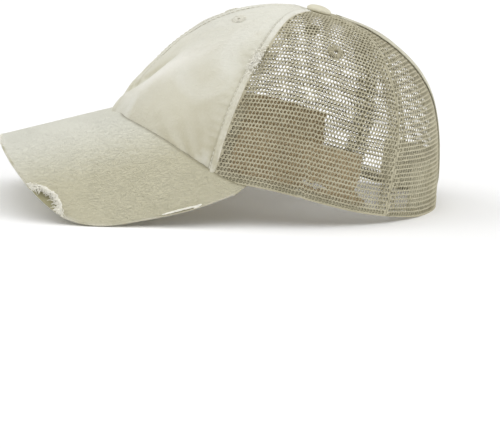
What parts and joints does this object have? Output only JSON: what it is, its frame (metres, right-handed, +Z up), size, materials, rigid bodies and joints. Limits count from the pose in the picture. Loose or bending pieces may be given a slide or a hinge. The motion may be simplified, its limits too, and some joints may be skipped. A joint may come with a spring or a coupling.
{
  "type": "ponytail baseball cap",
  "caption": "Distressed ponytail baseball cap: twill front panels, net side and back panels, curved brim torn at one corner, slit up the back, closure strip, sweatband and top button.",
  "frame": {"origin": "centre of the bounding box in plan, on the surface that the cap rests on", "axes": "+Z up, -Y towards the front edge of the brim, +X towards the wearer's left"},
  "size_m": [0.1508, 0.266, 0.1207],
  "materials": {
    "twill": "washed cotton twill, matte",
    "net": "coarse knitted polyester net, matte",
    "lining": "cotton sweatband cloth and hook-and-loop strip, matte",
    "tape": "folded cotton tape, matte",
    "board": "pressed brim board, matte"
  },
  "bodies": {
    "root": {"front_panel_left": "twill", "front_panel_right": "twill", "side_panel_left": "net", "side_panel_right": "net", "back_panel_left": "net", "back_panel_right": "net", "sweatband": "lining", "closure_strip": "lining", "slit_tape_left": "tape", "slit_tape_right": "tape", "brim_cover": "twill", "brim_board": "board", "top_button": "net", "eyelet_front_left": "twill", "eyelet_front_right": "twill", "eyelet_side_left": "net", "eyelet_side_right": "net"}
  },
  "joints": []
}
